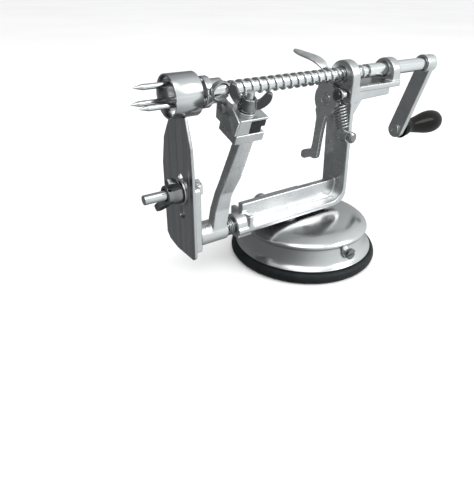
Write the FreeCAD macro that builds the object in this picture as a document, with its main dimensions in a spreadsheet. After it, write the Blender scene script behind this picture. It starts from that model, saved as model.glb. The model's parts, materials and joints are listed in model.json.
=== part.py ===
"""Hand-cranked apple peeler, corer and slicer on a suction base.

Frame: millimetres, +Z up, origin on the table under the middle of the suction
base.  +X points along the screw shaft towards the crank, -X towards the fork
and the slicer; the peeling arm swings out to -Y.
"""
import FreeCAD, Part
import math
import os
import re

import Sketcher

Vector = FreeCAD.Vector

# ---------------------------------------------------------------- driving dimensions
DIMENSIONS = {
    # frame casting
    "strip_half": 9.55,         # half width of the cast strip
    "strip_thick": 3.2,
    "foot_top": 32.0,
    "foot_front": -57.0,        # front end of the full-width foot
    "end_block_length": 10.0,
    "end_block_top": 33.0,
    "neck_bottom": 26.3,
    "neck_top": 34.0,
    "neck_inner": 4.8,
    "wall_rear": -47.0,         # cross wall at the front of the foot rib
    "wall_thick": 3.0,
    "wall_top": 38.7,
    "rib_half": 2.2,
    "rib_top": 43.5,
    "column_foot": 22.8,        # front face of the column at the foot
    "column_head": 19.0,        # front face of the column at the bearings
    "corner_inner": 8.0,
    "boss_thick": 6.5,
    "arch_height": 104.5,
    "bridge_end": 61.2,
    "bridge_top": 100.5,
    "bridge_thick": 3.2,
    "rear_boss_half": 8.4,
    "gusset_low": 90.4,
    "post_front": -85.5,
    "post_rear": -80.5,
    "post_top": 63.0,
    "pad_radius": 6.0,          # feet of the casting on the dome
    # screw shaft and fork
    "shaft_height": 106.4,
    "shaft_radius": 3.95,
    "root_radius": 3.0,
    "thread_pitch": 5.0,
    "ridge_width": 1.7,
    "thread_start": -59.0,
    "thread_turns": 19.5,
    "shaft_front": -72.0,
    "shaft_rear": 100.0,
    "bore_radius": 4.1,
    "fork_radius": 5.4,         # circle that the prongs stand on
    "prong_radius": 1.3,
    "prong_length": 31.0,
    # crank
    "hub_front": 93.0,
    "hub_length": 8.0,
    "hub_radius": 5.4,
    "crank_length": 48.3,
    "crank_lean": 16.9,         # degrees from straight down, towards +Y
    "arm_half": 5.2,            # half width of the crank arm at its hub
    "arm_end": 5.8,             # radius of its lower end
    "arm_thick": 4.2,
    "knob_length": 43.8,
    "knob_neck": 5.2,
    "knob_belly": 8.2,
    "spindle_radius": 2.5,
    "spindle_reach": 34.0,      # how far the spindle runs into the knob
    # release lever
    "pivot_across": 6.4,
    "pivot_height": 91.8,
    "plate_front": 14.8,
    "plate_thick": 3.0,
    "disc_radius": 9.3,
    "spring_across": -4.4,      # stud that the return spring hangs from
    "spring_height": 96.2,
    "anchor_deep": 22.2,        # screw that the return spring pulls on
    "anchor_height": 72.0,
    # peeling arm
    "arm_across": -2.0,
    "arm_height": 32.5,
    "barrel_radius": 6.0,
    "pin_radius": 2.5,
    "arm_rear": -57.7,
    "seat_front": -70.0,
    "seat_rear": -53.5,
    "seat_across": -17.2,       # middle of the seat's top face
    "seat_height": 92.9,
    "seat_tilt": 20.0,
    "seat_thick": 4.8,
    "seat_half": 7.2,
    "clamp_height": 8.0,
    "roof_thick": 1.1,
    "liner_front": -63.0,       # where the clamp's front wall ends and its liner starts
    "blade_sheet": 0.9,
    "blade_ring": 4.8,          # outside radius of the blade's curled end
    # slicer and corer
    "sheet_front": -87.1,
    "sheet_thick": 1.6,
    "sheet_bottom": 23.4,
    "sheet_near": 12.3,         # the sheet reaches this far to -Y
    "sheet_far": 18.5,          # and this far to +Y
    "slicer_bolt_height": 59.2,
    "ring_radius": 10.0,
    "ring_wall": 0.8,
    "bolt_radius": 2.5,
    # suction base
    "dome_top": 27.5,
    "dome_flat": 22.0,
    "shoulder_radius": 39.4,
    "shoulder_height": 20.2,
    "skirt_radius": 42.9,
    "skirt_height": 6.3,
    "cover_sheet": 1.0,
    "rubber_radius": 46.0,
    "cam_height": 14.5,
    "cam_throw": 2.5,
    "cam_shaft_radius": 3.0,
    "cam_shaft_end": 40.6,      # near end of the cam shaft, just outside the dome
    "lever_thick": 4.0,
}

doc = FreeCAD.newDocument("apple_peeler")
sheet = doc.addObject("Spreadsheet::Sheet", "dims")
for row, (alias, value) in enumerate(DIMENSIONS.items(), start=1):
    sheet.set(f"A{row}", alias)
    sheet.set(f"B{row}", str(value))
    sheet.setAlias(f"B{row}", alias)
doc.recompute()


# ---------------------------------------------------------------- formulas on the sheet
def formula(text):
    """Turn a formula in sheet aliases, or a plain number, into a FreeCAD expression."""
    return re.sub(r"[a-z]\w*", lambda word: f"dims.{word.group()}"
                  if word.group() in DIMENSIONS else word.group(), str(text))


def number(text):
    """Value of a formula."""
    return float(sheet.evalExpression(formula(text)))


def bind(thing, prop, text):
    """Bind one property to a formula, or set it when the formula is a plain number."""
    if isinstance(text, str):
        thing.setExpression(prop, formula(text))
    else:
        thing.setExpression(prop, str(float(text)))


# ---------------------------------------------------------------- Part primitives
AXES = {
    "X": FreeCAD.Rotation(Vector(0, 1, 0), 90),
    "Y": FreeCAD.Rotation(Vector(1, 0, 0), -90),
    "Z": FreeCAD.Rotation(),
}


def place(thing, at, rotation=None):
    """Put an object at three formulas."""
    thing.Placement = FreeCAD.Placement(Vector(*map(number, at)), rotation or FreeCAD.Rotation())
    for letter, text in zip("xyz", at):
        bind(thing, f"Placement.Base.{letter}", text)
    return thing


def box(low, size):
    """Box from its lowest corner."""
    thing = doc.addObject("Part::Box", "Box")
    for prop, text in zip(("Length", "Width", "Height"), size):
        bind(thing, prop, text)
    return place(thing, low)


def cylinder(at, radius, length, axis="X"):
    """Cylinder along one axis from the middle of its first face."""
    thing = doc.addObject("Part::Cylinder", "Cylinder")
    bind(thing, "Radius", radius)
    bind(thing, "Height", length)
    return place(thing, at, AXES[axis])


def cone(at, radius_one, radius_two, length, axis="X"):
    """Cone along one axis."""
    thing = doc.addObject("Part::Cone", "Cone")
    bind(thing, "Radius1", radius_one)
    bind(thing, "Radius2", radius_two)
    bind(thing, "Height", length)
    return place(thing, at, AXES[axis])


def hexagon(at, radius, length, axis="X"):
    """Hexagonal prism along one axis."""
    thing = doc.addObject("Part::Prism", "Prism")
    thing.Polygon = 6
    bind(thing, "Circumradius", radius)
    bind(thing, "Height", length)
    return place(thing, at, AXES[axis])


def fuse(*pieces):
    """One solid from pieces that overlap."""
    thing = doc.addObject("Part::MultiFuse", "Fusion")
    thing.Shapes = list(pieces)
    thing.Refine = True
    return thing


def cut(base, *tools):
    """Base without the tools."""
    thing = doc.addObject("Part::Cut", "Cut")
    thing.Base = base
    thing.Tool = tools[0] if len(tools) == 1 else fuse(*tools)
    thing.Refine = True
    return thing


def common(one, other):
    """The room that two pieces share."""
    thing = doc.addObject("Part::Common", "Common")
    thing.Base = one
    thing.Tool = other
    return thing


def group(pieces):
    """Separate solids kept in one node."""
    thing = doc.addObject("Part::Compound", "Group")
    thing.Links = list(pieces)
    return thing


def turned(piece, about, direction, degrees):
    """Copy of a piece's shape, turned about a line."""
    doc.recompute()
    thing = doc.addObject("Part::Feature", "Turned")
    shape = piece.Shape.copy()
    shape.rotate(Vector(*map(number, about)), Vector(*direction), degrees)
    thing.Shape = shape
    return thing


def rounded(piece, radius, wanted):
    """Fillet on the edges whose middle and direction the test accepts."""
    doc.recompute()
    thing = doc.addObject("Part::Fillet", "Fillet")
    thing.Base = piece
    picked = []
    for index, edge in enumerate(piece.Shape.Edges, start=1):
        middle = edge.valueAt((edge.FirstParameter + edge.LastParameter) / 2)
        if wanted(edge, middle):
            picked.append((index, number(radius), number(radius)))
    thing.Edges = picked
    return thing


# ---------------------------------------------------------------- sketched bodies
def new_sketch(body, role, offset=0):
    """Sketch on one of the body's own origin planes."""
    plane = next(item for item in body.Origin.OriginFeatures if item.Role == role)
    sketch = body.newObject("Sketcher::SketchObject", "Sketch")
    sketch.AttachmentSupport = [(plane, "")]
    sketch.MapMode = "FlatFace"
    bind(sketch, "AttachmentOffset.Base.z", offset)
    return sketch


def outline(sketch, corners):
    """Closed outline through corners whose coordinates are formulas."""
    first = sketch.GeometryCount
    count = len(corners)
    spots = [Vector(number(across), number(up), 0) for across, up in corners]
    for index in range(count):
        sketch.addGeometry(Part.LineSegment(spots[index], spots[(index + 1) % count]), False)
    for index in range(count):
        following = first + (index + 1) % count
        sketch.addConstraint(Sketcher.Constraint("Coincident", first + index, 2, following, 1))
    for index, corner in enumerate(corners):
        for kind, text in zip(("DistanceX", "DistanceY"), corner):
            place_in_list = sketch.addConstraint(
                Sketcher.Constraint(kind, first + index, 1, number(text)))
            bind(sketch, f"Constraints[{place_in_list}]", text)


def extruded(role, corners, length, offset=0, midplane=False):
    """Body with one outline padded along the plane's normal."""
    body = doc.addObject("PartDesign::Body", "Body")
    sketch = new_sketch(body, role, offset)
    outline(sketch, corners)
    pad = body.newObject("PartDesign::Pad", "Pad")
    pad.Profile = sketch
    bind(pad, "Length", length)
    pad.Midplane = midplane
    doc.recompute()
    return body


def revolved(role, corners, axis):
    """Body with one outline turned about a sketch axis."""
    body = doc.addObject("PartDesign::Body", "Body")
    sketch = new_sketch(body, role)
    outline(sketch, corners)
    turn = body.newObject("PartDesign::Revolution", "Revolution")
    turn.Profile = sketch
    turn.ReferenceAxis = (sketch, [axis])
    turn.Angle = 360
    doc.recompute()
    return body


def side_profile(corners, half_width):
    """Outline in X and Z, padded both ways along Y."""
    return extruded("XZ_Plane", corners, f"2 * ({half_width})", midplane=True)


def cross_profile(corners, start, length):
    """Outline in Y and Z, padded along +X from start."""
    return extruded("YZ_Plane", corners, length, offset=start)


BASE_SCREWS = [(-15, 0), (15, 0)]
HEAD_X = -61.75         # middle of the blade's clamp bolt along X
PARTS = {}


def keep(node, thing):
    """Name a finished sub-part."""
    thing.Label = node
    PARTS[node] = thing


# ---------------------------------------------------------------- wire and screw threads
def helix_wire(radius, wire, pitch, turns, start, direction):
    """Round wire wound about a line: a coil for a spring."""
    coil = Part.makeHelix(pitch, pitch * turns, radius)
    ring = Part.Wire(Part.makeCircle(wire, Vector(radius, 0, 0), Vector(0, 1, pitch / radius / 6.3)))
    solid = Part.Wire(coil.Edges).makePipeShell([ring], True, True)
    turn = FreeCAD.Rotation(Vector(0, 0, 1), direction)
    solid.Placement = FreeCAD.Placement(start, turn)
    return solid


def wire_path(points, wire):
    """Round wire through straight runs, with a ball at each bend."""
    pieces = []
    for start, end in zip(points, points[1:]):
        run = end.sub(start)
        pieces.append(Part.makeCylinder(wire, run.Length, start, run))
    for point in points[1:-1]:
        pieces.append(Part.makeSphere(wire, point))
    return pieces[0].multiFuse(pieces[1:])


def thread_ridge():
    """Helical ridge of the screw shaft, lying about the Z axis."""
    pitch = number("thread_pitch")
    root = number("root_radius") - 0.25
    crest = number("shaft_radius")
    half = number("ridge_width") / 2
    path = Part.Wire(Part.makeHelix(pitch, pitch * number("thread_turns"), root).Edges)
    corners = [Vector(root, 0, -half), Vector(crest, 0, -half * 0.7),
               Vector(crest, 0, half * 0.7), Vector(root, 0, half)]
    profile = Part.makePolygon(corners + corners[:1])
    return path.makePipeShell([profile], True, True)


# ---------------------------------------------------------------- frame
def frame_casting():
    """Z-shaped strip with ribs, two bearings, front post and the arm's pivot lugs."""
    strip = side_profile([
        ("foot_front", "foot_top - strip_thick"), ("foot_front", "foot_top"),
        ("column_foot", "foot_top"), ("column_head", "arch_height"),
        ("column_head + strip_thick", "arch_height"),
        ("column_foot + strip_thick", "foot_top - strip_thick")], "strip_half")
    corner = number("column_foot")

    def is_corner(edge, middle):
        return abs(middle.y) < 0.1 and edge.Length > 15 and middle.z < 33 and middle.x > corner - 1

    bent = rounded(strip, "corner_inner", is_corner)
    rib = side_profile([
        ("wall_rear - wall_thick", "foot_top - 1"), ("wall_rear - wall_thick", "rib_top"),
        ("column_foot - 1", "rib_top"), ("column_foot + 1", "foot_top - 1")], "rib_half")
    gusset = side_profile([
        ("column_head + 1", "bridge_top - 1"), ("column_head + 2", 62),
        ("column_head + strip_thick + 2.2", 62), ("column_head + strip_thick + 4.5", 76),
        ("bridge_end - 24", "gusset_low"), ("bridge_end", "gusset_low + 0.8"),
        ("bridge_end", "bridge_top - 1")], "rib_half")
    body = fuse(
        bent, rib, gusset,
        box(("wall_rear - wall_thick", "-strip_half", "foot_top - 1"),
            ("wall_thick", "2 * strip_half", "wall_top - foot_top + 1")),
        box(("foot_front", "arm_across - 6", "neck_bottom"),
            ("end_block_length", "strip_half - arm_across + 6", "end_block_top - neck_bottom - 1")),
        cylinder(("foot_front", "arm_across", "arm_height"), "barrel_radius + 0.5",
                 "end_block_length - 3"),
        box(("post_rear - 1", "neck_inner", "neck_bottom"),
            ("foot_front - post_rear + 2", "strip_half - neck_inner", "neck_top - neck_bottom")),
        post_plate(),
        box(("column_head", "-strip_half", "bridge_top - 9"),
            ("boss_thick", "2 * strip_half", "arch_height - bridge_top + 9")),
        cylinder(("column_head", 0, "arch_height"), "strip_half", "boss_thick"),
        box(("column_head + 2", "-strip_half", "bridge_top - bridge_thick"),
            ("bridge_end - column_head - 2", "2 * strip_half", "bridge_thick")),
        box(("bridge_end - boss_thick", "-rear_boss_half", "bridge_top - 1"),
            ("boss_thick", "2 * rear_boss_half", "arch_height - bridge_top + 1")),
        cylinder(("bridge_end - boss_thick", 0, "arch_height"), "rear_boss_half", "boss_thick"),
        *[cylinder((across, deep, "dome_top"), "pad_radius", "foot_top - dome_top - 1", "Z")
          for across, deep in BASE_SCREWS],
        cylinder(("plate_front + plate_thick + 0.4", "pivot_across", "pivot_height"), "disc_radius - 2", 5),
        cylinder(("anchor_deep", "-strip_half", "anchor_height"), 3.4, 7, "Y"))
    holes = [
        cylinder(("column_head - 1", 0, "shaft_height"), "bore_radius", "bridge_end - column_head + 2"),
        cylinder(("post_front - 1", "arm_across", "arm_height"), "pin_radius", "foot_front - post_front + 8"),
        cylinder(("post_front - 1", 0, "slicer_bolt_height"), "bolt_radius + 0.2", 7),
        cylinder(("plate_front", "pivot_across", "pivot_height"), 3, 20),
        cylinder(("anchor_deep", "-strip_half - 1", "anchor_height"), 1.5, 7, "Y")]
    holes += [cylinder((across, deep, "dome_top - 1"), 2, 5, "Z") for across, deep in BASE_SCREWS]
    keep("frame_casting", cut(body, *holes))


def post_plate():
    """Upright plate that carries the slicer, with rounded top corners."""
    plate = box(("post_front", "-strip_half", "neck_bottom"),
                ("post_rear - post_front", "2 * strip_half", "post_top - neck_bottom"))
    top = number("post_top") - 1

    def top_corner(edge, middle):
        return middle.z > top and edge.Length < 6

    return rounded(plate, 3, top_corner)


# ---------------------------------------------------------------- suction base
def base_cover():
    """Pressed steel dome with a rolled shoulder and a flared skirt."""
    outer = [
        (0, "dome_top"), ("dome_flat", "dome_top"), ("dome_flat + 9", "dome_top - 1.6"),
        ("shoulder_radius - 2", "shoulder_height + 1.6"), ("shoulder_radius", "shoulder_height + 0.4"),
        ("shoulder_radius", "shoulder_height - 0.6"), ("shoulder_radius - 0.9", "shoulder_height - 1.6"),
        ("shoulder_radius + 1", "skirt_height + 4"), ("skirt_radius", "skirt_height + 0.9"),
        ("skirt_radius", "skirt_height")]
    inner = [
        ("skirt_radius - cover_sheet", "skirt_height"),
        ("shoulder_radius + 1 - cover_sheet", "skirt_height + 3.6"),
        ("shoulder_radius - 0.9 - cover_sheet", "shoulder_height - 1.6"),
        ("shoulder_radius - 1 - cover_sheet", "shoulder_height - 0.2"),
        ("dome_flat + 8.8", "dome_top - 1.6 - cover_sheet"),
        ("dome_flat", "dome_top - cover_sheet"), (0, "dome_top - cover_sheet")]
    shell = revolved("XZ_Plane", outer + inner, "V_Axis")
    holes = [cylinder((0, "-skirt_radius - 2", "cam_height"), "cam_shaft_radius + 0.1",
                      "2 * skirt_radius + 4", "Y")]
    holes += [cylinder((across, deep, "dome_top - 2"), 2.1, 4, "Z") for across, deep in BASE_SCREWS]
    keep("base_cover", cut(shell, *holes))


def suction_cup():
    """Rubber cup: flat sole, thick rim that shows round the skirt, and a centre boss."""
    keep("suction_cup", revolved("XZ_Plane", [
        (0, 0), ("rubber_radius - 2", 0), ("rubber_radius - 0.5", 1.2), ("rubber_radius", 2.8),
        ("rubber_radius - 0.5", 4.6), ("rubber_radius - 2", "skirt_height - 0.1"),
        ("rubber_radius - 7", "skirt_height - 0.1"), ("rubber_radius - 10", 3.0),
        (9, 3.0), (9, 4.2), (0, 4.2)], "V_Axis"))


def base_screws():
    """Two screws that hold the dome up against the foot."""
    screws = []
    for across, deep in BASE_SCREWS:
        shank = cylinder((across, deep, "dome_top - cover_sheet - 0.5"), 2, "cover_sheet + 4.3", "Z")
        head = cylinder((across, deep, "dome_top - cover_sheet - 2.6"), 3.6, 2.6, "Z")
        socket = hexagon((across, deep, "dome_top - cover_sheet - 3"), 1.7, 1.8, "Z")
        screws.append(cut(fuse(shank, head), socket))
    keep("base_screws", group(screws))


def suction_gear():
    """Cam shaft across the base, its lever outside, and the yoke that lifts the cup."""
    near = "0 - cam_shaft_end"
    far = "skirt_radius + 0.1"
    shaft = cylinder((0, near, "cam_height"), "cam_shaft_radius",
                     f"cam_shaft_end + {far} + lever_thick - 0.4", "Y")
    cam = cylinder(("cam_throw", -4, "cam_height"), 5, 8, "Y")
    keep("cam_shaft", fuse(shaft, cam))
    head = cylinder((0, f"{near} - 1.8", "cam_height"), 3.3, 1.8, "Y")
    slot = box((-6, f"{near} - 3", "cam_height - 0.5"), (12, 1.9, 1))
    keep("cam_screw", cut(head, slot))
    lever = fuse(
        cylinder((0, far, "cam_height"), 6.4, "lever_thick", "Y"),
        box((0, far, "cam_height - 4.5"), (34, "lever_thick", 9)),
        cylinder((34, far, "cam_height"), 4.5, "lever_thick", "Y"))
    eye = cylinder((0, f"{far} - 1", "cam_height"), "cam_shaft_radius", 8, "Y")
    keep("suction_lever", cut(lever, eye))
    window = box((-8.2, -6, "cam_height - 6.2"), (16.4, 12, 12.1))
    yoke = fuse(
        box((-10.5, -4.5, "cam_height - 8.5"), (21, 9, 17.2)),
        cylinder((0, 0, 4.5), 8, 1.8, "Z"))
    keep("suction_yoke", cut(yoke, window))


# ---------------------------------------------------------------- screw shaft, fork and crank
def threaded_shaft():
    """Screw shaft: plain rod, turned-down root and a raised helical ridge."""
    plain_start = "thread_start + thread_pitch * thread_turns + 1"
    core = fuse(
        cylinder(("shaft_front", 0, "shaft_height"), "shaft_radius", "thread_start - shaft_front - 1"),
        cylinder(("shaft_front + 1", 0, "shaft_height"), "root_radius", "shaft_rear - shaft_front - 2"),
        cylinder((plain_start, 0, "shaft_height"), "shaft_radius", f"shaft_rear - ({plain_start})"))
    doc.recompute()
    ridge = thread_ridge()
    turn = FreeCAD.Rotation(Vector(0, 1, 0), 90)
    ridge.Placement = FreeCAD.Placement(Vector(number("thread_start"), 0, number("shaft_height")), turn)
    thing = doc.addObject("Part::Feature", "Threaded")
    thing.Shape = core.Shape.fuse(ridge)
    keep("threaded_shaft", thing)


def fork():
    """Hub pressed on the shaft and three pointed prongs."""
    hub = fuse(
        cylinder(("shaft_front - 2.5", 0, "shaft_height"), "fork_radius + 2", 3.5),
        cylinder(("shaft_front", 0, "shaft_height"), 5.8, 8.5))
    seats = []
    prongs = []
    for turn in (90, 210, 330):
        across = f"fork_radius * {math.cos(math.radians(turn)):.5f}"
        height = f"shaft_height + fork_radius * {math.sin(math.radians(turn)):.5f}"
        seats.append(cylinder(("shaft_front - 2.5", across, height), "prong_radius", 2))
        rod = cylinder(("shaft_front - 0.5 - prong_length", across, height), "prong_radius", "prong_length")
        tip = cone(("shaft_front - 4.5 - prong_length", across, height), 0.3, "prong_radius", 4.1)
        prongs.append(fuse(rod, tip))
    bore = cylinder(("shaft_front", 0, "shaft_height"), "shaft_radius", 12)
    keep("fork_hub", cut(hub, bore, *seats))
    keep("fork_prongs", group(prongs))


def crank_end():
    """Point on the crank knob's axis, as formulas."""
    return ("crank_length * sin(crank_lean)", "shaft_height - crank_length * cos(crank_lean)")


def crank():
    """Crank arm, its set screw, the knob's spindle, the ferrule and the knob."""
    across, height = crank_end()
    face = "hub_front + 2"
    lean = number("crank_lean")
    blade = [("0 - arm_half", "shaft_height + 1"), ("arm_half", "shaft_height + 1"),
             ("arm_end", "shaft_height - crank_length"), ("0 - arm_end", "shaft_height - crank_length")]
    flat = cross_profile(blade, face, "arm_thick")
    leaning = turned(flat, (0, 0, "shaft_height"), (1, 0, 0), lean)
    arm = fuse(
        leaning,
        cylinder(("hub_front", 0, "shaft_height"), "hub_radius", "hub_length"),
        cylinder((face, across, height), "arm_end", "arm_thick"))
    grub = "hub_front + hub_length - 1.9"
    keep("crank_arm", cut(
        arm,
        cylinder(("hub_front - 1", 0, "shaft_height"), "shaft_radius", "hub_length + 2"),
        cylinder((face, across, height), "spindle_radius", "arm_thick"),
        cylinder((grub, 0, "shaft_height + 2"), 1.2, 8, "Z")))
    keep("crank_set_screw", cylinder(
        (grub, 0, "shaft_height + shaft_radius"), 1.2, "hub_radius - shaft_radius - 0.1", "Z"))
    spindle = fuse(
        cylinder((f"{face} - 1.4", across, height), 4, 1.4),
        cylinder((face, across, height), "spindle_radius", "arm_thick + spindle_reach"))
    keep("knob_spindle", cut(spindle, hexagon((f"{face} - 2", across, height), 2, 1.8)))
    ferrule_start = f"{face} + arm_thick + 0.4"
    ferrule = fuse(
        cylinder((ferrule_start, across, height), "knob_neck + 2.4", 2.2),
        cylinder((f"{ferrule_start} + 2", across, height), "knob_neck + 0.6", 6))
    sleeve = cylinder((f"{ferrule_start} - 1", across, height), "knob_neck - 0.7", 20)
    keep("knob_ferrule", cut(ferrule, sleeve))
    neck = f"{ferrule_start} + 0.6"
    outline_points = [
        ("spindle_radius + 0.08", 0), ("knob_neck - 0.7", 0), ("knob_neck - 0.7", 7.6),
        ("knob_neck", 7.6), ("knob_neck + 0.4", 12), ("knob_belly - 1.4", "knob_length - 21"),
        ("knob_belly - 0.2", "knob_length - 13.5"), ("knob_belly", "knob_length - 10"),
        ("knob_belly - 0.6", "knob_length - 6"), ("knob_belly - 2.2", "knob_length - 2.8"),
        ("knob_belly - 5", "knob_length - 0.5"), (0, "knob_length"), (0, "spindle_reach + 2"),
        ("spindle_radius + 0.08", "spindle_reach + 2")]
    knob = revolved("XZ_Plane", outline_points, "V_Axis")
    along_x = FreeCAD.Rotation(Vector(0, 1, 0), 90)
    keep("crank_knob", place(knob, (neck, across, height), along_x))


def crank_washer():
    """Loose thrust washer between the crank hub and the rear bearing."""
    ring = cylinder(("hub_front - 1.6", 0, "shaft_height"), "hub_radius + 0.3", 1.5)
    eye = cylinder(("hub_front - 3", 0, "shaft_height"), "shaft_radius + 0.1", 5)
    keep("crank_washer", cut(ring, eye))


# ---------------------------------------------------------------- release lever
def release_lever():
    """Plate lever: round boss, spring ear under the shaft, thumb tab and a hooked tail."""
    start = "plate_front"
    thick = "plate_thick"
    stem = cross_profile([
        (14.4, 92), (13.2, 100), (12, 106.6), (13, 109.8), (17, 111.6), (22, 112.4), (29, 113),
        (36.4, 114.6), (35.4, 116), (30, 115.7), (22, 114.9), (15, 113.4), (10.4, 110.8), (8, 107.8),
        (7.2, 103.6), (6, 99.4),
        (0, 98.8), ("spring_across - 1.6", 99), ("spring_across - 3.4", 97),
        ("spring_across - 2", 94.2), (-2.4, 93.2), (0, 92)], start, thick)
    tail = cross_profile([
        (5.4, 84), (9.2, 55.4), (11, 54), (15.6, 54), (19.4, 52.2), (22, 51.6), (23.8, 53.2),
        (23, 56.8), (15.4, 59.4), (14.6, 62), (13.2, 84)], start, thick)
    tab = cross_profile([
        (15, 111.2), (22, 112.4), (29, 113), (36.4, 114.6), (35.4, 116), (30, 115.7), (22, 114.9),
        (15, 113.4)], "plate_front - 4", "plate_thick + 5")
    disc = cylinder((start, "pivot_across", "pivot_height"), "disc_radius", thick)
    plate = fuse(stem, tail, tab, disc)
    keep("release_lever", cut(plate, cylinder(
        ("plate_front - 1", "pivot_across", "pivot_height"), 3.05, 8)))
    jaw = box(("plate_front - 2.2", "shaft_radius + 0.45", "shaft_height - 5"), (2.2, 4.2, 8.2))
    tooth_x = "thread_start + thread_pitch * 15 - thread_pitch / 4 - 1.1"
    tooth = box((tooth_x, "root_radius + 0.5", "shaft_height - 1.6"), (2.2, 3, 3.2))
    keep("half_nut", fuse(jaw, tooth))
    stud = fuse(
        cylinder(("plate_front - 2", "spring_across", "spring_height"), 1.8, 2),
        cylinder(("plate_front - 2.6", "spring_across", "spring_height"), 2.6, 0.7))
    slot = box(("plate_front - 3", "spring_across - 4", "spring_height - 0.4"), (0.8, 8, 0.8))
    keep("spring_stud", cut(stud, slot))


def lever_pivot():
    """Shouldered rivet through the lever and the column."""
    rivet = fuse(
        cylinder(("plate_front - 0.7", "pivot_across", "pivot_height"), 4.0, 0.65),
        cylinder(("plate_front - 0.2", "pivot_across", "pivot_height"), 3, 12))
    keep("lever_pivot_rivet", rivet)


def lever_spring():
    """Extension spring from the lever's stud to the screw on the column's side."""
    wire = 0.55
    radius = 3.2
    turns = 8
    top = Vector(number("plate_front") - 1.2, number("spring_across"), number("spring_height"))
    anchor = Vector(number("anchor_deep"), -number("strip_half") - 0.8, number("anchor_height"))
    coil_top = top.add(Vector(-0.2, -2.4, -5.2))
    coil_low = Vector(top.x + 0.8, top.y - 5.9, anchor.z + 6.4)
    run = coil_low.sub(coil_top)
    coil = helix_wire(radius, wire, run.Length / turns, turns, coil_top, run)
    turn = FreeCAD.Rotation(Vector(0, 0, 1), run)
    first = coil_top.add(turn.multVec(Vector(radius, 0, 0)))
    last = coil_low.add(turn.multVec(Vector(-radius, 0, 0)))
    loop = Part.makeTorus(3.5, wire, top, Vector(1, 0, 0))
    eye = Part.makeTorus(2.7, wire, anchor, Vector(0, 1, 0))
    link = wire_path([top.add(Vector(0, -1, -3.35)), coil_top.add(Vector(0, 0, 1)), first], wire)
    hook = wire_path([last, coil_low.add(Vector(1, 0, -1)), anchor.add(Vector(-3.4, -0.6, 3.6)),
                      anchor.add(Vector(-1.6, 0, 2.2))], wire)
    thing = doc.addObject("Part::Feature", "Spring")
    thing.Shape = coil.multiFuse([loop, eye, hook, link])
    keep("lever_spring", thing)
    head = fuse(
        cylinder(("anchor_deep", "-strip_half - 2", "anchor_height"), 1.5, 7.6, "Y"),
        cylinder(("anchor_deep", "-strip_half - 2.3", "anchor_height"), 3.2, 0.8, "Y"),
        cone(("anchor_deep", "-strip_half - 3.2", "anchor_height"), 2.1, 3.2, 1, "Y"))
    keep("spring_screw", head)


# ---------------------------------------------------------------- peeling arm
def on_seat(along, above):
    """Point in Y and Z of the arm's head: along the seat and above its top face."""
    tilt = math.radians(number("seat_tilt"))
    across = number("seat_across") + along * math.cos(tilt) - above * math.sin(tilt)
    height = number("seat_height") + along * math.sin(tilt) + above * math.cos(tilt)
    return across, height


def head_block(along, above, start, length):
    """Block on the tilted seat, as one outline padded along X."""
    corners = [on_seat(along[0], above[0]), on_seat(along[1], above[0]),
               on_seat(along[1], above[1]), on_seat(along[0], above[1])]
    return cross_profile([(round(y, 3), round(z, 3)) for y, z in corners], start, length)


def head_rod(along, above, radius, length, start_x, sides=0):
    """Rod or hexagon that stands square on the seat."""
    across, height = on_seat(along, above)
    rod = doc.addObject("Part::Prism" if sides else "Part::Cylinder", "Rod")
    if sides:
        rod.Polygon = sides
        rod.Circumradius = radius
    else:
        rod.Radius = radius
    rod.Height = length
    tilt = FreeCAD.Rotation(Vector(1, 0, 0), number("seat_tilt"))
    rod.Placement = FreeCAD.Placement(Vector(start_x, across, height), tilt)
    return rod


def peeler_arm():
    """Cast arm: pivot barrel, web, leaning beam and the tilted seat for the blade."""
    near_y, near_z = on_seat(-5, -3)
    far_y, far_z = on_seat(0.6, -3)
    across = cross_profile([
        (-7.4, 33), (-1.2, 33), (-1.2, 46), (-3.2, 56), (round(far_y, 2), round(far_z, 2)),
        (round(near_y, 2), round(near_z, 2)), (-8.8, 56), (-7, 46)], "post_rear + 6", 20)
    along = side_profile([
        ("post_rear + 7.4", "arm_height"), ("post_rear + 8.3", 39), ("post_rear + 10.3", 50),
        ("post_rear + 12.3", 61), ("post_rear + 15", 82), ("post_rear + 15.4", 91), ("arm_rear + 1.2", 91),
        ("arm_rear + 1", 84), ("arm_rear - 0.4", 64), ("arm_rear - 3.6", 53), ("arm_rear - 4.3", 45),
        ("arm_rear - 6.4", "arm_height")], 25)
    stem = common(across, along)
    half = number("seat_half")
    seat = head_block((-half, half), (-number("seat_thick"), 0),
                      "seat_front", "seat_rear - seat_front")
    barrel = cylinder(("post_rear + 0.4", "arm_across", "arm_height"), "barrel_radius", 17.4)
    arm = fuse(stem, seat, barrel)
    hole = cylinder(("post_rear - 1", "arm_across", "arm_height"), "pin_radius + 0.06", 22)
    keep("peeler_arm", cut(arm, hole, head_rod(0, -8, 2, 10, HEAD_X)))
    keep("arm_pivot_pin", cylinder(("post_front + 0.2", "arm_across", "arm_height"), "pin_radius", 35))


def arm_spring():
    """Torsion spring round the pivot pin, between the barrel and the foot."""
    start = number("post_rear") + 18.8
    wire = 0.45
    turns = 3
    room = number("foot_front") - start - 1.4
    coil = helix_wire(4.6, wire, room / turns, turns,
                      Vector(start, number("arm_across"), number("arm_height")), Vector(1, 0, 0))
    thing = doc.addObject("Part::Feature", "Spring")
    thing.Shape = coil
    keep("arm_spring", thing)


def on_the_seat(piece, start=0, lean=0):
    """Stand a piece, drawn about the seat's middle, square on the seat, with its top leaning to +X."""
    tilt = FreeCAD.Rotation(Vector(1, 0, 0), number("seat_tilt"))
    lean_back = FreeCAD.Rotation(Vector(0, 1, 0), lean)
    return place(piece, (start, "seat_across", "seat_height"), tilt.multiply(lean_back))


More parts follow.
